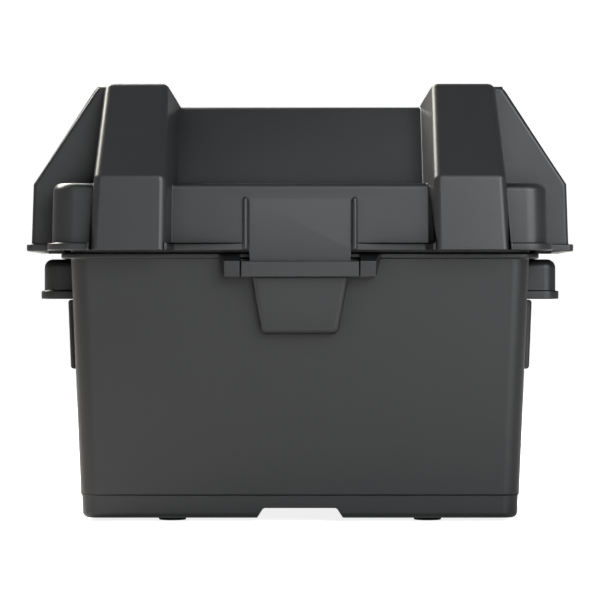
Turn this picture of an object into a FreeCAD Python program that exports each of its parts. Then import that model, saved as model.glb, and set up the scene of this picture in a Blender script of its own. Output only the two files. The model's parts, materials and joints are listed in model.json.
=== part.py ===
import FreeCAD, Part
import math
import os

# A vented plastic battery box: a tapered tub with a carry handle at each end, and a
# lift-off lid that a flexing latch holds at the front and at the rear.
# Millimetres. X runs along the box, the front faces -Y, and z = 0 is the floor under
# the rubber feet. The rear repeats the front, and the left end repeats the right.

V = FreeCAD.Vector

# ---- tub ----
tub_length = 285.4        # outside, at the top edge
tub_depth = 195.4
tub_height = 170.0        # underside to top edge
tub_draft = 2.25          # degrees on every wall
tub_wall = 3.0
tub_corner = 11.0
base_fillet = 3.6
plinth_height = 14.3      # the lowest band of the wall, set in by plinth_step
plinth_step = 0.7
channel_height = 6.2      # strap channel under the floor, front to back
channel_top_half = 22.8
channel_bottom_half = 27.3
channel_corner = 2.5
rim_drop = 5.6            # top edge down to the top of the rim flange
rim_thick = 3.2
rim_overhang_x = 6.0
rim_overhang_y = 1.5

# ---- feet, floor holes and floor ribs ----
foot_height = 2.4
foot_radius = 8.6
foot_edge = 0.8
foot_inset_x = 56.0       # foot centre from the side of the base
foot_inset_y = 25.0
stem_radius = 3.5
stem_clearance = 0.1
stem_head_radius = 4.6
stem_head_height = 2.4
mount_hole_radius = 3.25
mount_spacing_x = 200.0
mount_spacing_y = 90.0
stem_tip_radius = 2.5
stem_head_gap = 0.2       # floor to the stem's head
rib_width = 4.0
rib_shifts = (-18.0, 40.0)  # rib centres from the feet's centres, along X
rib_end_gap = 9.0         # rib end to the inside of the tub wall

# ---- handles and end plates ----
handle_reach = 19.6       # beyond the end wall
handle_half = 50.0
handle_height = 25.2
handle_wall = 2.6
handle_radius = 8.0
handle_top_radius = 5.4
handle_lip = 2.0
handle_lip_height = 5.3
plate_reach = 5.8
plate_half = 44.0
plate_height = 43.8
plate_fillet = 2.0
plate_gap = 0.4           # handle's underside down to the plate

# ---- lid ----
lid_gap_x = 2.1           # rim flange to the inside of the skirt
lid_gap_y = 7.5
lid_wall = 2.8
lid_corner = 14.0
lid_lift_gap = 1.6        # rim flange up to the skirt's bottom edge
skirt_height = 41.5
skirt_draft = 1.2
flange_reach = 2.8
flange_height = 4.5
ridge_flange_inner = 1.8  # the flange beyond a ridge's inner side
ridge_flange_outer = 1.4  # and beyond its outer side
ridge_flange_back = 0.8   # and behind its front
lip_reach = 0.35          # the thinner flange across the centre of each long side
seat_gap = 0.3            # the lid's seat above the tub's top edge
seat_thick = 2.5
seat_overlap = 4.0        # past the outside of the tub's top edge
roof_ledge = 8.6          # skirt's top edge back to the foot of the roof slope
roof_rise = 49.2
roof_run = 38.0
roof_skirt = 12.0         # how far the roof's sides reach down inside the skirt
ridge_reach = 11.0        # beyond the skirt's front
ridge_end_inset = 24.2    # ridge's outer side from the end of the skirt
ridge_width = 45.9
ridge_slant = 4.6         # the inner side leans out this far at the skirt's front
crown_slant = 8.3         # and this far from the ridge's top down to the roof's
ridge_shoulder = 3.5      # the ridge's front shoulder above the skirt's top
ridge_rise = 59.9         # shoulder to the flat top
ridge_front_lean = 1.6
ridge_shoulder_lean = 2.8
ridge_side_lean = 7.3
hood_half = 60.0
hood_reach = 15.65        # beyond the end of the skirt
hood_wall_lean = 1.4
hood_top_gap = 5.0        # ridge's top outer edge to the hood's top corner
hood_top_drop = 1.0
hood_shoulder_rise = 0.9  # skirt's top up to the foot of the hood's slope
hood_fillet = 2.4
hood_flange_corner = 3.8

# ---- latches and catches ----
tab_half = 31.2
tab_height = 31.2         # from the skirt's bottom edge up to the flexing line
tab_gap = 0.5             # slit on each side of the tab
bead_radius = 1.7
bead_gap = 0.3            # slit's edge to the bead
bar_side = 5.2            # the bar beyond the tab on each side
bar_height = 9.8
bar_neck = 6.6            # skirt's bottom edge down to the bar
bar_reach = 2.5           # beyond the skirt's front
bar_back = 4.6            # the bar's inner face behind the skirt's front
bar_fillet = 0.8
tooth_height = 3.8
tooth_depth = 4.5
tooth_nose = 1.3          # thickness of the tooth's edge
tooth_rise = 1.6          # the bar's underside up to the tooth's
window_depth = 2.0        # the tab's window runs this far behind the skirt's wall
latch_clearance = 0.6
block_width = 9.7
block_side_lean = 4.0
block_chamfer_y = 7.8
keeper_gap = 1.0
keeper_height = 3.0
catch_back = 2.0
boss_gap = 0.4            # bar's underside down to the boss
boss_top_half = 29.8
boss_bottom_half = 23.6
boss_height = 34.8
boss_reach = 9.0
boss_corner = 4.0
boss_fillet = 3.0

# ---- making the shapes ----
past = 1.0                # how far a cut runs past a face
near = 0.5                # how close to a face an edge is, to be picked for rounding

# ---- places that follow from the sizes above ----
base_z = foot_height
tub_top = base_z + tub_height
plinth_top = base_z + plinth_height
channel_top = base_z + channel_height
floor_top = base_z + tub_wall
battery_level = channel_top + tub_wall
rim_top = tub_top - rim_drop
rim_bottom = rim_top - rim_thick
tub_slope = math.tan(math.radians(tub_draft))
skirt_slope = math.tan(math.radians(skirt_draft))
lid_half_x = tub_length / 2 + rim_overhang_x + lid_gap_x + lid_wall
lid_half_y = tub_depth / 2 + rim_overhang_y + lid_gap_y + lid_wall
lid_bottom = rim_top + lid_lift_gap
skirt_top = lid_bottom + skirt_height
roof_top = skirt_top + roof_rise
ridge_top = skirt_top + ridge_shoulder + ridge_rise
ridge_outer = lid_half_x - ridge_end_inset
ridge_crown = ridge_outer - ridge_width
ridge_foot = ridge_crown - ridge_slant
ridge_front = lid_half_y + ridge_reach
shoulder_z = skirt_top + ridge_shoulder
shoulder_y = ridge_front - ridge_front_lean
tab_top = lid_bottom + tab_height
bar_top = lid_bottom - bar_neck
bar_bottom = bar_top - bar_height
boss_top = bar_bottom - boss_gap
boss_bottom = boss_top - boss_height
handle_top = rim_bottom
handle_bottom = handle_top - handle_height
below_lid = lid_bottom - past
bar_half = tab_half + bar_side
wall_inside = tub_length / 4  # inside the tub, where what grows from an end wall begins


def tub_half_x(z):
    return tub_length / 2 - (tub_top - z) * tub_slope


def tub_half_y(z):
    return tub_depth / 2 - (tub_top - z) * tub_slope


def skirt_half_x(z):
    return lid_half_x - (z - lid_bottom) * skirt_slope


def skirt_half_y(z):
    return lid_half_y - (z - lid_bottom) * skirt_slope


def box(x0, x1, y0, y1, z0, z1):
    return Part.makeBox(x1 - x0, y1 - y0, z1 - z0, V(x0, y0, z0))


def ring(half_x, half_y, radius, z):
    """Rounded rectangle centred on the Z axis, as a closed wire at height z."""
    corners = []
    for sx, sy, start in ((1, 1, 0), (-1, 1, 90), (-1, -1, 180), (1, -1, 270)):
        centre = V(sx * (half_x - radius), sy * (half_y - radius), z)
        points = [
            centre + V(math.cos(a), math.sin(a), 0) * radius
            for a in (math.radians(start + step) for step in (0, 45, 90))
        ]
        corners.append(points)
    edges = []
    for i, points in enumerate(corners):
        following = corners[(i + 1) % 4]
        edges.append(Part.Arc(*points).toShape())
        edges.append(Part.makeLine(points[2], following[0]))
    return Part.Wire(edges)


def slab(half_x, half_y, radius, z0, z1):
    return Part.Face(ring(half_x, half_y, radius, z0)).extrude(V(0, 0, z1 - z0))


def wire_yz(points, x):
    loop = [V(x, y, z) for y, z in points]
    return Part.makePolygon(loop + loop[:1])


def prism_yz(points, x0, x1):
    """Solid with a front-to-back outline (y, z), from x0 to x1."""
    return Part.Face(wire_yz(points, x0)).extrude(V(x1 - x0, 0, 0))


def prism_xz(points, y0, y1):
    """Solid with an end-to-end outline (x, z), from y0 to y1."""
    loop = [V(x, y0, z) for x, z in points]
    return Part.Face(Part.makePolygon(loop + loop[:1])).extrude(V(0, y1 - y0, 0))


def fillet(shape, radius, chosen):
    """Round the edges whose middle point passes the test `chosen`."""
    edges = []
    for edge in shape.Edges:
        middle = edge.valueAt((edge.FirstParameter + edge.LastParameter) / 2)
        if chosen(middle, edge.BoundBox):
            edges.append(edge)
    return shape.makeFillet(radius, edges)


def half_turn(shape):
    turned = shape.copy()
    turned.rotate(V(0, 0, 0), V(0, 0, 1), 180)
    return turned


def single(shape):
    """The one solid in a boolean result."""
    return shape.removeSplitter().Solids[0]


def tapered_block(low, high, radius, z0, z1):
    """Block with drafted walls and rounded corners, from half sizes `low` to `high`."""
    sides = []
    for half_low, half_high in zip(low, high):
        sides.append([(-half_low, z0), (half_low, z0), (half_high, z1), (-half_high, z1)])
    reach = 2 * max(low + high)
    block = prism_xz(sides[0], -reach, reach).common(prism_yz(sides[1], -reach, reach))
    return fillet(block, radius, lambda p, b: b.ZLength > (z1 - z0) / 2)


def tub_outline(inset, z0, z1):
    """The tub's tapered outside, moved in by `inset`, from z0 to z1."""
    low, high = [(tub_half_x(z) - inset, tub_half_y(z) - inset) for z in (z0, z1)]
    return tapered_block(low, high, tub_corner - inset, z0, z1)


def channel_prism(grow, y):
    """The strap channel, grown by `grow`, from -y to y."""
    top = channel_top + grow
    low = base_z - past
    points = [
        (-channel_bottom_half - grow, low),
        (-channel_top_half - grow, top),
        (channel_top_half + grow, top),
        (channel_bottom_half + grow, low),
    ]
    prism = prism_xz(points, -y, y)
    radius = channel_corner + grow
    return fillet(prism, radius, lambda p, b: b.ZLength < 0.01 and b.YLength > 1 and p.z > low + past)


def corner_places(half_x, half_y):
    return [(sx * half_x, sy * half_y) for sx in (-1, 1) for sy in (-1, 1)]


def foot_places():
    return corner_places(
        tub_half_x(base_z) - foot_inset_x, tub_half_y(base_z) - foot_inset_y
    )


def rim_slab():
    """The flange round the tub, with what it surrounds."""
    return slab(
        tub_half_x(rim_top) + rim_overhang_x,
        tub_half_y(rim_top) + rim_overhang_y,
        tub_corner + rim_overhang_y,
        rim_bottom,
        rim_top,
    )


def floor_hole(x, y, radius):
    return Part.makeCylinder(radius, tub_wall + 2 * past, V(x, y, base_z - past))


def make_tub():
    plinth = tub_outline(plinth_step, base_z, plinth_top)
    plinth = fillet(plinth, base_fillet, lambda p, b: abs(p.z - base_z) < 0.01)
    body = tub_outline(0, plinth_top, tub_top)
    cavity = tub_outline(tub_wall, floor_top, tub_top + past)
    cavity = cavity.cut(channel_prism(tub_wall, tub_depth))
    tub = plinth.fuse([body, rim_slab()]).cut(cavity).cut(channel_prism(0, tub_depth))
    holes = [floor_hole(x, y, stem_radius + stem_clearance) for x, y in foot_places()]
    for x, y in corner_places(mount_spacing_x / 2, mount_spacing_y / 2):
        holes.append(floor_hole(x, y, mount_hole_radius))
    return single(tub.cut(holes))


def make_foot(x, y):
    """Push-in rubber foot: a pad under the floor, a stem and a head above it."""
    pad = Part.makeCylinder(foot_radius, foot_height, V(x, y, 0))
    pad = fillet(pad, foot_edge, lambda p, b: b.ZLength < 0.01 and p.z < 0.01)
    stem = Part.makeCylinder(stem_radius, tub_wall + stem_head_gap, V(x, y, base_z))
    head_place = V(x, y, floor_top + stem_head_gap)
    head = Part.makeCone(stem_head_radius, stem_tip_radius, stem_head_height, head_place)
    return single(pad.fuse([stem, head]))


def make_floor_ribs():
    """Four ribs across the floor that keep the battery level with the channel's top."""
    half_y = tub_half_y(floor_top) - tub_wall - rib_end_gap
    foot_x = tub_half_x(base_z) - foot_inset_x
    half = rib_width / 2
    ribs = []
    for shift in rib_shifts:
        for x in (-foot_x - shift, foot_x + shift):
            ribs.append(box(x - half, x + half, -half_y, half_y, floor_top, battery_level))
    return Part.makeCompound(ribs)


def handle_block(grow, z0, z1):
    x1 = tub_half_x(rim_top) + handle_reach + grow
    half_y = handle_half + grow
    block = box(wall_inside, x1, -half_y, half_y, z0, z1)
    return fillet(block, handle_radius + grow, lambda p, b: b.ZLength > 1 and p.x > x1 - near)


def make_handle():
    """Right-hand carry handle: a hollow grip, open underneath, with a rolled lip."""
    x1 = tub_half_x(rim_top) + handle_reach
    body = handle_block(0, handle_bottom, handle_top)
    body = fillet(
        body,
        handle_top_radius,
        lambda p, b: b.ZLength < 0.01 and p.z > handle_top - near and p.x > x1 - handle_radius,
    )
    lip = handle_block(handle_lip, handle_bottom, handle_bottom + handle_lip_height)
    pocket = handle_block(-handle_wall, handle_bottom - past, handle_top - handle_wall)
    shell = body.fuse(lip).cut(pocket)
    return single(shell.cut(tub_outline(0, plinth_top, tub_top)))


def make_end_plate():
    """Raised pad on the right-hand end wall, right under the handle."""
    top = handle_bottom - plate_gap
    bottom = top - plate_height
    pad = tub_outline(-plate_reach, plinth_top, tub_top)
    pad = pad.common(box(wall_inside, tub_length, -plate_half, plate_half, bottom, top))
    limit = tub_half_x(bottom) + plate_reach - near
    pad = fillet(pad, plate_fillet, lambda p, b: p.x > limit)
    return single(pad.cut(tub_outline(0, plinth_top, tub_top)))


def make_catch():
    """Front catch: two side blocks, a back plate, and the keeper that the tooth hooks."""
    front = -(lid_half_y + bar_reach)
    inner = bar_half + latch_clearance
    outer = inner + block_width
    top = rim_top - latch_clearance
    wall = -tub_half_y(bar_bottom) + tub_wall
    side = [
        (wall, bar_bottom),
        (front, bar_bottom),
        (front, bar_top),
        (front + block_chamfer_y, top),
        (wall, top),
    ]
    depth = -tub_half_y(top) - front
    solids = []
    for sign in (-1, 1):
        plan = [
            (sign * inner, bar_bottom),
            (sign * outer, bar_bottom),
            (sign * (outer + block_side_lean), top),
            (sign * inner, top),
        ]
        block = prism_yz(side, -outer * 2, outer * 2)
        block = block.common(prism_xz(plan, front - past, wall + past))
        flank = behind(V(sign * outer, front, 0), V(sign * depth, -block_side_lean, 0), 0)
        solids.append(block.common(flank))
    back_front = -(tub_half_y(bar_top) + catch_back)
    solids.append(box(-inner, inner, back_front, wall, bar_bottom, bar_top))
    keeper_bottom = bar_bottom + tooth_rise + tooth_height + latch_clearance
    keeper_front = -(lid_half_y - bar_back - keeper_gap)
    keeper_top = keeper_bottom + keeper_height
    solids.append(box(-inner, inner, keeper_front, wall, keeper_bottom, keeper_top))
    catch = solids[0].fuse(solids[1:])
    return single(catch.cut([tub_outline(0, plinth_top, tub_top), rim_slab()]))


def make_boss():
    """Tapered pad on the front wall under the catch."""
    points = [
        (-boss_bottom_half, boss_bottom),
        (-boss_top_half, boss_top),
        (boss_top_half, boss_top),
        (boss_bottom_half, boss_bottom),
    ]
    block = prism_xz(points, -lid_half_y, -tub_depth / 4)
    block = fillet(block, boss_corner, lambda p, b: b.YLength > 1 and p.z < boss_bottom + near)
    block = block.common(tub_outline(-boss_reach, plinth_top, tub_top))
    limit = -(tub_half_y(boss_bottom) + boss_reach) + near
    block = fillet(block, boss_fillet, lambda p, b: p.y < limit and p.z < boss_top - near)
    return single(block.cut(tub_outline(0, plinth_top, tub_top)))


def skirt_block(inset, bottom):
    top = skirt_top - inset
    low, high = [(skirt_half_x(z) - inset, skirt_half_y(z) - inset) for z in (bottom, top)]
    return tapered_block(low, high, lid_corner - inset, bottom, top)


def roof_foot():
    return skirt_half_y(skirt_top) - roof_ledge


def both_ways(right):
    """Outline (y, z) from its rear half, mirrored to the front."""
    return [(-y, z) for y, z in right] + right[::-1]


def inset_prism(face, inset, sweep):
    """The face moved in by `inset` on every side, swept into a solid."""
    if inset:
        face = face.makeOffset2D(-inset, 2)
    return face.extrude(sweep)


def roof_block(inset):
    low = skirt_top - roof_skirt
    foot = roof_foot()
    points = both_ways([(foot, low), (foot, skirt_top), (foot - roof_run, roof_top)])
    reach = ridge_crown + inset
    return inset_prism(Part.Face(wire_yz(points, -reach)), inset, V(2 * reach, 0, 0))


def behind(point, outward, inset):
    """A large block on the inner side of a plane, moved in by `inset`."""
    size = 3 * (tub_length + tub_height)
    block = Part.makeBox(size, size, size, V(-size / 2, -size / 2, -size))
    outward = outward.normalize()
    turn = FreeCAD.Rotation(V(0, 0, 1), outward)
    block.Placement = FreeCAD.Placement(point - outward * inset, turn)
    return block


def ridge_sides(inset):
    """Blocks behind the leaning inner side, where it passes the skirt and the roof slopes."""
    slope = math.hypot(roof_run, roof_rise)
    out_y, out_z = -roof_rise / slope, roof_run / slope
    skirt_y = skirt_half_y(skirt_top)
    height = (skirt_y - shoulder_y) * out_y + (shoulder_z - skirt_top) * out_z
    lean = ridge_slant / height
    blocks = []
    for end in (1, -1):
        foot = V(ridge_foot, -end * skirt_y, skirt_top)
        level = V(skirt_y - ridge_front, -end * ridge_slant, 0)
        blocks.append(behind(foot, level, inset))
        blocks.append(behind(foot, V(-1, end * lean * out_y, lean * out_z), inset))
    return blocks


def ridge_block(inset):
    """One ridge over the lid, on the right, with a leaning inner side."""
    bottom = lid_bottom if inset == 0 else below_lid - inset
    run = ridge_rise * roof_run / roof_rise
    profile = [(ridge_front, bottom), (shoulder_y, shoulder_z), (shoulder_y - run, ridge_top)]
    face = Part.Face(wire_yz(both_ways(profile), 0))
    body = inset_prism(face, inset, V(lid_half_x, 0, 0))
    crown_lean = crown_slant / (ridge_top - roof_top)
    limit = [
        (ridge_crown - crown_lean * (ridge_top - bottom), bottom),
        (ridge_outer, bottom),
        (ridge_outer - ridge_shoulder_lean, shoulder_z),
        (ridge_outer - ridge_side_lean, ridge_top),
        (ridge_crown, ridge_top),
    ]
    loop = [V(x, -tub_depth, z) for x, z in limit]
    face = Part.Face(Part.makePolygon(loop + loop[:1]))
    body = body.common(inset_prism(face, inset, V(0, 2 * tub_depth, 0)))
    for block in ridge_sides(inset):
        body = body.common(block)
    return body


def hood_points(inset, bottom):
    wall = lid_half_x + hood_reach
    top = ridge_top - hood_top_drop
    crest = ridge_outer - ridge_side_lean + hood_top_gap
    inner = ridge_outer - ridge_side_lean - 2 * lid_wall
    shoulder = skirt_top + hood_shoulder_rise
    run = wall - hood_wall_lean - crest
    rise = top - shoulder
    lean = inset * (math.hypot(run, rise) - rise) / run
    return [
        (inner, bottom),
        (wall - inset, bottom),
        (wall - hood_wall_lean - inset, shoulder - lean),
        (crest - lean, top - inset),
        (inner, top - inset),
    ]


def hood_block(inset):
    """The end hood on the right, with its sloping roof."""
    bottom = lid_bottom if inset == 0 else below_lid
    half = hood_half - inset
    block = prism_xz(hood_points(inset, bottom), -half, half)
    if inset:
        return block
    limit = ridge_outer - ridge_side_lean
    return fillet(block, hood_fillet, lambda p, b: p.x > limit and p.z > lid_bottom + near)


def lid_core():
    """Outside of the lid without its hoods."""
    ridge = ridge_block(0)
    return skirt_block(0, lid_bottom).fuse([roof_block(0), ridge, half_turn(ridge)])


def lid_hollow():
    """Inside of the lid, hoods included."""
    ridge = ridge_block(lid_wall)
    hood = hood_block(lid_wall)
    skirt = skirt_block(lid_wall, below_lid)
    return skirt.fuse([roof_block(lid_wall), ridge, half_turn(ridge), hood, half_turn(hood)])


def lip_band():
    """The thin stretch of flange across the centre of both long sides."""
    x = ridge_foot + past
    y = lid_half_y + lip_reach
    return box(-x, x, -y, y, lid_bottom, lid_bottom + flange_height)


def lid_flange():
    """The band round the lid's bottom edge, thinner at the centre of the long sides."""
    top = lid_bottom + flange_height
    half_x, half_y, corner = [v + flange_reach for v in (lid_half_x, lid_half_y, lid_corner)]
    band = slab(half_x, half_y, corner, lid_bottom, top)
    gap = box(-ridge_foot, ridge_foot, -tub_depth, tub_depth, lid_bottom - past, top + past)
    front = ridge_front - ridge_flange_back
    side = ridge_outer + ridge_flange_outer
    outline = [
        (ridge_foot - ridge_flange_inner, lid_half_y),
        (ridge_crown - ridge_flange_inner, front),
        (side, front),
        (side, lid_half_y),
    ]
    outline += [(x, -y) for x, y in outline[::-1]]
    loop = [V(x, y, lid_bottom) for x, y in outline]
    ridge_band = Part.Face(Part.makePolygon(loop + loop[:1])).extrude(V(0, 0, flange_height))
    return [band.cut(gap), ridge_band, half_turn(ridge_band), lip_band()]


def make_bead(x):
    """Rounded bead beside a latch slit, standing on the sloping front wall."""
    low_z = lid_bottom + bead_radius
    low = V(x, -skirt_half_y(low_z), low_z)
    high = V(x, -skirt_half_y(tab_top), tab_top)
    rod = Part.makeCylinder(bead_radius, low.distanceToPoint(high), low, high - low)
    return rod.fuse([Part.makeSphere(bead_radius, low), Part.makeSphere(bead_radius, high)])


def latch_window():
    half = tab_half + tab_gap
    top = tab_top + tab_gap
    front = -(lid_half_y + bar_reach)
    back = -(lid_half_y - lid_wall - window_depth)
    return box(-half, half, front, back, below_lid, top)


def make_lid_cover():
    cover = lid_core().fuse(lid_flange()).cut(lid_hollow())
    window = latch_window()
    return single(cover.cut([window, half_turn(window)]))


def make_slit_beads():
    """Four rounded beads, one beside each latch slit."""
    bead_x = tab_half + tab_gap + bead_gap + bead_radius
    wall = [skirt_block(0, below_lid), lip_band()]
    beads = []
    for x in (-bead_x, bead_x):
        bead = single(make_bead(x).cut(wall))
        beads += [bead, half_turn(bead)]
    return Part.makeCompound(beads)


def make_hood():
    """Right-hand hood, with its own stretch of flange, cut to the cover it grows from."""
    hood = hood_block(0)
    x1 = lid_half_x + hood_reach
    half = hood_half + flange_reach
    flange = box(
        lid_half_x, x1 + flange_reach, -half, half, lid_bottom, lid_bottom + flange_height
    )
    flange = fillet(flange, hood_flange_corner, lambda p, b: b.ZLength > 1 and p.x > x1)
    core = lid_core().fuse(lid_flange())
    return single(hood.fuse(flange).cut(lid_hollow()).cut(core))


def make_lid_seat():
    """Ledge inside the skirt that rests on the tub's top edge."""
    z0 = tub_top + seat_gap
    z1 = z0 + seat_thick
    plate = slab(
        skirt_half_x(z0) - lid_wall, skirt_half_y(z0) - lid_wall, lid_corner - lid_wall, z0, z1
    )
    plate = plate.common(skirt_block(lid_wall, below_lid))
    inner_x = tub_length / 2 - seat_overlap
    inner_y = tub_depth / 2 - seat_overlap
    hole = slab(inner_x, inner_y, tub_corner - seat_overlap, z0 - past, z1 + past)
    half = tab_half + tab_gap + window_depth
    back = lid_half_y - lid_wall - window_depth
    slots = [box(-half, half, -lid_half_y, -back, z0 - past, z1 + past)]
    slots.append(half_turn(slots[0]))
    return single(plate.cut([hole] + slots))


def make_latch():
    """Front latch: a flexing tab with a cross bar and an inward tooth at its lower end."""
    top_y = skirt_half_y(tab_top)
    tab = [
        (-top_y, tab_top),
        (-lid_half_y, lid_bottom),
        (-lid_half_y, bar_top),
        (-lid_half_y + lid_wall, bar_top),
        (-lid_half_y + lid_wall, lid_bottom),
        (-top_y + lid_wall, tab_top),
    ]
    front = -(lid_half_y + bar_reach)
    back = -(lid_half_y - bar_back)
    bar = box(-bar_half, bar_half, front, back, bar_bottom, bar_top)
    bar = fillet(bar, bar_fillet, lambda p, b: p.y < front + near)
    tooth_bottom = bar_bottom + tooth_rise
    tooth_top = tooth_bottom + tooth_height
    tooth = [
        (back, tooth_bottom),
        (back, tooth_top),
        (back + tooth_depth, tooth_top),
        (back + tooth_depth, tooth_top - tooth_nose),
    ]
    tab_solid = prism_yz(tab, -tab_half, tab_half)
    tooth_solid = prism_yz(tooth, -tab_half, tab_half)
    return single(tab_solid.fuse([bar, tooth_solid]))


def save(name, shape):
    shape.exportStep("parts/" + name + ".step")


def main():
    os.makedirs("parts", exist_ok=True)
    save("box_tub", make_tub())
    save("floor_ribs", make_floor_ribs())
    for x, y in foot_places():
        side = "left" if x < 0 else "right"
        end = "front" if y < 0 else "rear"
        save(side + "_" + end + "_foot", make_foot(x, y))
    pairs = (
        ("right_handle", "left_handle", make_handle()),
        ("right_end_plate", "left_end_plate", make_end_plate()),
        ("front_catch", "rear_catch", make_catch()),
        ("front_boss", "rear_boss", make_boss()),
        ("right_hood", "left_hood", make_hood()),
        ("front_latch", "rear_latch", make_latch()),
    )
    for name, opposite, shape in pairs:
        save(name, shape)
        save(opposite, half_turn(shape))
    save("lid_cover", make_lid_cover())
    save("lid_seat", make_lid_seat())
    save("slit_beads", make_slit_beads())


main()
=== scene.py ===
import json
import math

import bmesh
import bpy
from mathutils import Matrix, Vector
from mathutils.bvhtree import BVHTree


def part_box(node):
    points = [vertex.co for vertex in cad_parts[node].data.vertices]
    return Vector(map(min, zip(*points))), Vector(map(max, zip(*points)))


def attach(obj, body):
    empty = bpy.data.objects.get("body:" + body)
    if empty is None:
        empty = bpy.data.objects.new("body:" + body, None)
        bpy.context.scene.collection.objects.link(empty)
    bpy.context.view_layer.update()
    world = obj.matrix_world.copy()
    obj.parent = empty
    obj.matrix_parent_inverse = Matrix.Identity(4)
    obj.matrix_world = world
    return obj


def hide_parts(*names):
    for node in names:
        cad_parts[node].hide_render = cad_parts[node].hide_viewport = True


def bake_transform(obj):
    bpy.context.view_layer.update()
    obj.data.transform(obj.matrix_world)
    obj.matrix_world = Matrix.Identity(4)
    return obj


# A charcoal plastic battery box. Every moulded piece is a rounded copy of its CAD node,
# so that its edges catch the light as a real moulding's do. Sizes are in metres.

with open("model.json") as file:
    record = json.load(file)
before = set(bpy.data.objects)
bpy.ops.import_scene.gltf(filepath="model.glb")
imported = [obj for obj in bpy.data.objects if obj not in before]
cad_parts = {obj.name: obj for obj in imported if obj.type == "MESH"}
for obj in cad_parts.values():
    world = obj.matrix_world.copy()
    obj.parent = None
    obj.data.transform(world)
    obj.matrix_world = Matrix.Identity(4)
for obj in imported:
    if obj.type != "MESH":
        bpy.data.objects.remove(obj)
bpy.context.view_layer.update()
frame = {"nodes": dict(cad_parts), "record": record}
nodes = frame["nodes"]

MM = 0.001

# ---- rounding ----
WELD = 0.004 * MM         # points of a CAD mesh nearer than this are one
FLAT = math.radians(0.2)  # faces that meet at less than this are one flat face
TOUCHING = 0.06 * MM      # nodes of one moulding closer than this are joined
SLIT = 0.7 * MM           # a latch's slits, whose edges stay crisp
SMOOTH_ANGLE = math.radians(28)
INSIDE_RADIUS = 0.7 * MM  # hollow corners
FLANGE_RADIUS = 0.8 * MM
FLANGE_HEIGHT = 5.0 * MM
ROUND_SHARE = 0.42        # a rounding takes at most this share of a face's width
ROUND_STEPS = 4
WEB_STEPS = 3             # rows of faces in a latch's hinge web

# name of the piece: its node, body, slot, radius of its outer corners in mm
MOULDINGS = {
    "tub_shell": ("box_tub", "box", "tub_plastic", 0.8),
    "left_carry_handle": ("left_handle", "box", "tub_plastic", 0.8),
    "right_carry_handle": ("right_handle", "box", "tub_plastic", 0.8),
    "left_end_pad": ("left_end_plate", "box", "tub_plastic", 0.5),
    "right_end_pad": ("right_end_plate", "box", "tub_plastic", 0.5),
    "front_catch_bracket": ("front_catch", "box", "tub_plastic", 0.5),
    "rear_catch_bracket": ("rear_catch", "box", "tub_plastic", 0.5),
    "lid_moulding": ("lid_cover", "lid", "lid_plastic", 5.0),
    "left_end_hood": ("left_hood", "lid", "lid_plastic", 3.2),
    "right_end_hood": ("right_hood", "lid", "lid_plastic", 3.2),
    "front_latch_tab": ("front_latch", "front_latch", "latch_plastic", 0.5),
    "rear_latch_tab": ("rear_latch", "rear_latch", "latch_plastic", 0.5),
}

# ---- plastics ----
# slot: name, colour, roughness
PLASTICS = {
    "tub_plastic": ("tub_polypropylene", (0.018, 0.018, 0.019), 0.36),
    # lid and latch get a lighter copy of the tub's charcoal: painted light, for the extra light
    # their upward-drafted faces catch
    "lid_plastic": ("lid_polypropylene", (0.030, 0.0305, 0.032), 0.34),
    "latch_plastic": ("latch_polypropylene", (0.030, 0.0305, 0.032), 0.34),
    "foot_rubber": ("foot_rubber", (0.012, 0.012, 0.0125), 0.75),
}
REFRACTION = 1.49
GRAIN_SCALE = 1900.0      # the mould's fine texture, about half a millimetre
GRAIN_DEPTH = 0.06 * MM
GRAIN_STRENGTH = 0.25
CLOUD_SCALE = 22.0        # slow changes of gloss from handling
GLOSSIER, DULLER = 0.05, 0.06
WORN_FROM, WORN_FULL = 0.52, 0.62  # how sharp an edge is where its wear starts, and is full
WORN_SHARE = 0.5
WORN_LIGHTER = 2.2        # scuffed plastic is this many times lighter
PAINTED_SHADE_REACH = 14 * MM   # painted shade: the plastic's colour is darkened this near to an inside corner

# ---- studio ----
PAPER_HALF = 6.0          # the white sweep's half width
PAPER_FRONT = -6.0
BEND_START, BEND_RADIUS, BEND_STEPS = 3.0, 2.0, 12
PAPER_TOP = 6.0
PAPER_WHITE = 0.9
PAPER_LIGHT, PAPER_SEEN = 0.1, 0.85  # the paper's own glow: on the object, and as seen
ROOM_SEEN = 1.0
HORIZON_LIGHT, CEILING_LIGHT = 0.0178, 0.0061  # what the room gives the object
HORIZON_HEIGHT, CEILING_HEIGHT = 0.1, 0.7      # heights of a ray of length 1
LIGHT_AIM = (0, 0, 0.15)
# name: place, size, power, colour
LIGHTS = {
    "front_box": ((1.5, -2.9, 1.15), (2.8, 1.7), 88, (0.95, 0.98, 1.0)),
    "ceiling_box": ((0.6, -2.2, 2.1), (1.6, 0.8), 13, (0.93, 0.97, 1.0)),
    "left_kicker": ((-1.0, 1.0, 1.5), (1.8, 0.8), 80, (1.0, 0.96, 0.88)),
}
CAMERA_PLACE = (0, -2.231, 0.1378)
CAMERA_LENS, CAMERA_SENSOR = 206.9, 36.0  # in millimetres, as Blender has them


def surface_tree(names):
    """One search tree over the CAD nodes named."""
    points, faces = [], []
    for name in names:
        mesh = nodes[name].data
        start = len(points)
        points += [v.co.copy() for v in mesh.vertices]
        faces += [[start + i for i in p.vertices] for p in mesh.polygons]
    return BVHTree.FromPolygons(points, faces)


def make_object(name, work):
    """An object in the scene from a bmesh, which is freed."""
    mesh = bpy.data.meshes.new(name)
    work.to_mesh(mesh)
    work.free()
    made = bpy.data.objects.new(name, mesh)
    bpy.context.scene.collection.objects.link(made)
    return made


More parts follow.
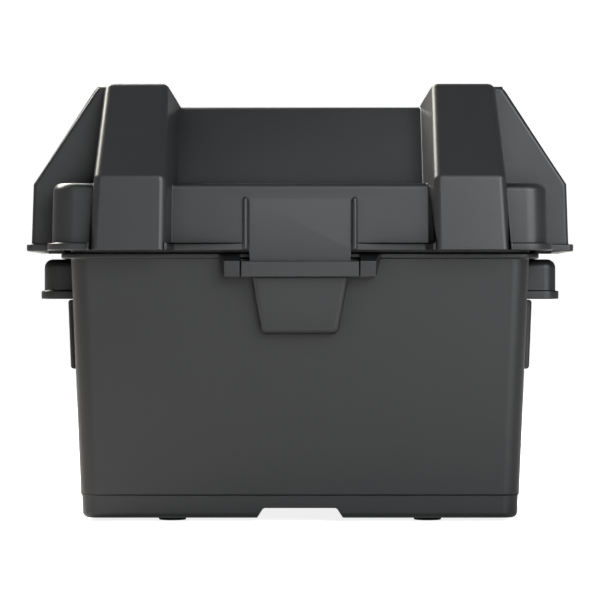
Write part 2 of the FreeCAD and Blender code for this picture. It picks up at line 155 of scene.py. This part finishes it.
def clean_copy(node):
    """The node's mesh, welded, with its flat faces joined into whole faces."""
    work = bmesh.new()
    work.from_mesh(nodes[node].data)
    bmesh.ops.remove_doubles(work, verts=work.verts, dist=WELD)
    bmesh.ops.dissolve_limit(
        work, angle_limit=FLAT, verts=work.verts, edges=work.edges, delimit=set()
    )
    work.normal_update()
    return work


def rounding_width(edge, radius, low):
    """How far a rounding reaches over the two faces at an edge."""
    if not edge.is_convex:
        radius = min(radius, INSIDE_RADIUS)
    start, end = [v.co for v in edge.verts]
    if max(start.z, end.z) < low + FLANGE_HEIGHT:
        radius = min(radius, FLANGE_RADIUS)
    width = radius * math.tan(edge.calc_face_angle(0) / 2)
    along = (end - start).normalized()
    for face in edge.link_faces:
        reach = max((v.co - start).cross(along).length for v in face.verts)
        width = min(width, ROUND_SHARE * reach)
    return width


def weigh_edges(work, radius, low, moulding, others):
    """Give each free edge its share of the rounding, and keep the joined ones sharp."""
    weight = work.edges.layers.float.new("bevel_weight_edge")
    for edge in work.edges:
        if len(edge.link_faces) != 2 or edge.calc_face_angle(0) < SMOOTH_ANGLE:
            continue
        middle = (edge.verts[0].co + edge.verts[1].co) / 2
        joined = moulding and moulding.find_nearest(middle, TOUCHING)[0] is not None
        if joined or others.find_nearest(middle, SLIT)[0] is not None:
            edge.smooth = False
            continue
        edge[weight] = rounding_width(edge, radius, low) / radius


def rounded(piece_name, node, body, radius, moulding, others):
    """A copy of a CAD node whose free edges are rounded, standing for that node."""
    work = clean_copy(node)
    weigh_edges(work, radius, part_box(node)[0][2], moulding, others)
    piece = make_object(piece_name, work)
    piece.data.shade_smooth()
    bevel = piece.modifiers.new("rounding", "BEVEL")
    bevel.limit_method = "WEIGHT"
    bevel.width = radius
    bevel.segments = ROUND_STEPS
    bevel.use_clamp_overlap = False
    normals = piece.modifiers.new("normals", "WEIGHTED_NORMAL")
    normals.mode = "FACE_AREA"
    normals.keep_sharp = True
    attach(piece, body)
    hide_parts(node)
    return piece


def make_mouldings():
    pieces = {}
    for piece_name, (node, body, slot, radius) in MOULDINGS.items():
        same = [n for n, b, s, r in MOULDINGS.values() if b == body and n != node]
        other = [n for n, b, s, r in MOULDINGS.values() if b != body]
        moulding = surface_tree(same) if same else None
        pieces[piece_name] = rounded(
            piece_name, node, body, radius * MM, moulding, surface_tree(other)
        )
    return pieces


def web_mesh(half, near, far, low, high, side):
    """A closed box in rows from the latch tab's top up to the lid's edge above it."""
    corners = ((-half, far), (half, far), (half, near), (-half, near))
    work = bmesh.new()
    rings = []
    for i in range(WEB_STEPS + 1):
        z = low + (high - low) * i / WEB_STEPS
        rings.append([work.verts.new((x, side * y, z)) for x, y in corners])
    for lower, upper in zip(rings, rings[1:]):
        for i in range(4):
            j = (i + 1) % 4
            work.faces.new((lower[i], lower[j], upper[j], upper[i]))
    work.faces.new(rings[0])
    work.faces.new(rings[-1])
    bmesh.ops.recalc_face_normals(work, faces=work.faces)
    return work


def make_hinge_web(name, latch, side):
    """The thin web of plastic about which a latch tab bends, between the tab and the lid."""
    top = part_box(latch)[1][2]
    row = [v.co for v in nodes[latch].data.vertices if abs(v.co.z - top) < 0.01 * MM]
    lid_row = [v.co for v in nodes["lid_cover"].data.vertices if 0 < v.co.z - top < SLIT]
    upper = min(co.z for co in lid_row)
    half = max(abs(co.x) for co in row)
    near, far = min(abs(co.y) for co in row), max(abs(co.y) for co in row)
    web = make_object(name, web_mesh(half, near, far, top, upper, side))
    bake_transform(web)
    return web


def add_range(tree, source, socket, low, high, start=0.0, end=1.0):
    """Spread a value's run from start to end over low to high, into a socket."""
    spread = tree.nodes.new("ShaderNodeMapRange")
    spread.inputs["From Min"].default_value = start
    spread.inputs["From Max"].default_value = end
    spread.inputs["To Min"].default_value = low
    spread.inputs["To Max"].default_value = high
    tree.links.new(source, spread.inputs["Value"])
    tree.links.new(spread.outputs["Result"], socket)
    return spread


def add_noise(tree, scale, detail):
    """Noise that is fixed to the piece."""
    place = tree.nodes.new("ShaderNodeTexCoord")
    noise = tree.nodes.new("ShaderNodeTexNoise")
    noise.inputs["Scale"].default_value = scale
    noise.inputs["Detail"].default_value = detail
    tree.links.new(place.outputs["Object"], noise.inputs["Vector"])
    return noise.outputs["Fac"]


def add_colour(tree, shader, colour):
    """The plastic's colour, lighter on worn edges, with painted shade darkening it near inside
    corners.
    """
    edge = tree.nodes.new("ShaderNodeNewGeometry")
    tint = tree.nodes.new("ShaderNodeMix")
    tint.data_type = "RGBA"
    tint.inputs["A"].default_value = (*colour, 1)
    tint.inputs["B"].default_value = (*[c * WORN_LIGHTER for c in colour], 1)
    add_range(
        tree, edge.outputs["Pointiness"], tint.inputs["Factor"], 0.0, WORN_SHARE,
        WORN_FROM, WORN_FULL
    )
    # painted shade: ambient occlusion darkens the colour near inside corners, standing in for
    # contact shadow
    painted_shade = tree.nodes.new("ShaderNodeAmbientOcclusion")
    painted_shade.inputs["Distance"].default_value = PAINTED_SHADE_REACH
    tree.links.new(tint.outputs["Result"], painted_shade.inputs["Color"])
    tree.links.new(painted_shade.outputs["Color"], shader.inputs["Base Color"])


def plastic(name, colour, roughness):
    """Fine-grained moulded plastic."""
    material = bpy.data.materials.new(name)
    material.use_nodes = True
    tree = material.node_tree
    shader = tree.nodes["Principled BSDF"]
    shader.inputs["IOR"].default_value = REFRACTION
    bump = tree.nodes.new("ShaderNodeBump")
    bump.inputs["Strength"].default_value = GRAIN_STRENGTH
    bump.inputs["Distance"].default_value = GRAIN_DEPTH
    tree.links.new(add_noise(tree, GRAIN_SCALE, 2.0), bump.inputs["Height"])
    tree.links.new(bump.outputs["Normal"], shader.inputs["Normal"])
    add_range(
        tree, add_noise(tree, CLOUD_SCALE, 5.0), shader.inputs["Roughness"],
        roughness - GLOSSIER, roughness + DULLER
    )
    add_colour(tree, shader, colour)
    return material


def set_material(piece, material):
    piece.data.materials.clear()
    piece.data.materials.append(material)


def set_materials(mouldings, webs):
    finishes = {slot: plastic(*finish) for slot, finish in PLASTICS.items()}
    for subpart in frame["record"]["subparts"]:
        set_material(nodes[subpart["node"]], finishes[subpart["material_slot"]])
    for name, piece in mouldings.items():
        set_material(piece, finishes[MOULDINGS[name][2]])
    for web in webs:
        set_material(web, finishes["latch_plastic"])


def add_glow(tree, socket, light, seen):
    """A strength of glow that is higher where it is seen directly, for a white backdrop."""
    ray = tree.nodes.new("ShaderNodeLightPath")
    return add_range(tree, ray.outputs["Is Camera Ray"], socket, light, seen)


def paper_profile():
    """The sweep from the side, as (y, z): floor, bend and wall."""
    profile = [(PAPER_FRONT, 0.0), (BEND_START, 0.0)]
    for i in range(1, BEND_STEPS + 1):
        angle = math.radians(90 * i / BEND_STEPS)
        y = BEND_START + BEND_RADIUS * math.sin(angle)
        profile.append((y, BEND_RADIUS - BEND_RADIUS * math.cos(angle)))
    return profile + [(BEND_START + BEND_RADIUS, PAPER_TOP)]


def make_floor():
    """White paper sweep: floor, bend and wall in one sheet."""
    work = bmesh.new()
    left, right = [
        [work.verts.new((x, y, z)) for y, z in paper_profile()] for x in (-PAPER_HALF, PAPER_HALF)
    ]
    for i in range(len(left) - 1):
        work.faces.new((left[i], right[i], right[i + 1], left[i + 1]))
    sweep = make_object("paper_sweep", work)
    sweep.data.shade_smooth()
    paper = bpy.data.materials.new("paper")
    paper.use_nodes = True
    shader = paper.node_tree.nodes["Principled BSDF"]
    shader.inputs["Base Color"].default_value = (PAPER_WHITE, PAPER_WHITE, PAPER_WHITE, 1)
    shader.inputs["Roughness"].default_value = 0.9
    shader.inputs["Emission Color"].default_value = (1, 1, 1, 1)
    add_glow(paper.node_tree, shader.inputs["Emission Strength"], PAPER_LIGHT, PAPER_SEEN)
    set_material(sweep, paper)


def make_camera():
    data = bpy.data.cameras.new("camera")
    data.lens = CAMERA_LENS
    data.sensor_width = CAMERA_SENSOR
    data.clip_end = 50.0
    camera = bpy.data.objects.new("camera", data)
    camera.location = CAMERA_PLACE
    camera.rotation_euler = (math.radians(90), 0, 0)
    bpy.context.scene.collection.objects.link(camera)
    bpy.context.scene.camera = camera


def make_room():
    """A dark room, a little lighter towards its horizon, that is white where it is seen."""
    room = bpy.data.worlds.new("studio")
    room.use_nodes = True
    tree = room.node_tree
    background = tree.nodes["Background"]
    background.inputs["Color"].default_value = (1, 1, 1, 1)
    place = tree.nodes.new("ShaderNodeTexCoord")
    split = tree.nodes.new("ShaderNodeSeparateXYZ")
    tree.links.new(place.outputs["Generated"], split.inputs["Vector"])
    glow = add_glow(tree, background.inputs["Strength"], HORIZON_LIGHT, ROOM_SEEN)
    add_range(
        tree, split.outputs["Z"], glow.inputs["To Min"], HORIZON_LIGHT, CEILING_LIGHT,
        HORIZON_HEIGHT, CEILING_HEIGHT
    )
    bpy.context.scene.world = room


def area_light(name, place, size, power, colour):
    data = bpy.data.lights.new(name, "AREA")
    data.shape = "RECTANGLE"
    data.size, data.size_y = size
    data.energy = power
    data.color = colour
    light = bpy.data.objects.new(name, data)
    light.location = place
    aim = Vector(LIGHT_AIM) - Vector(place)
    light.rotation_euler = aim.to_track_quat("-Z", "Y").to_euler()
    bpy.context.scene.collection.objects.link(light)


def make_light():
    make_room()
    for name, settings in LIGHTS.items():
        area_light(name, *settings)
    bpy.context.scene.view_settings.view_transform = "Standard"


set_materials(
    make_mouldings(),
    [
        make_hinge_web("front_hinge_web", "front_latch", -1),
        make_hinge_web("rear_hinge_web", "rear_latch", 1),
    ],
)
make_floor()
make_camera()
make_light()
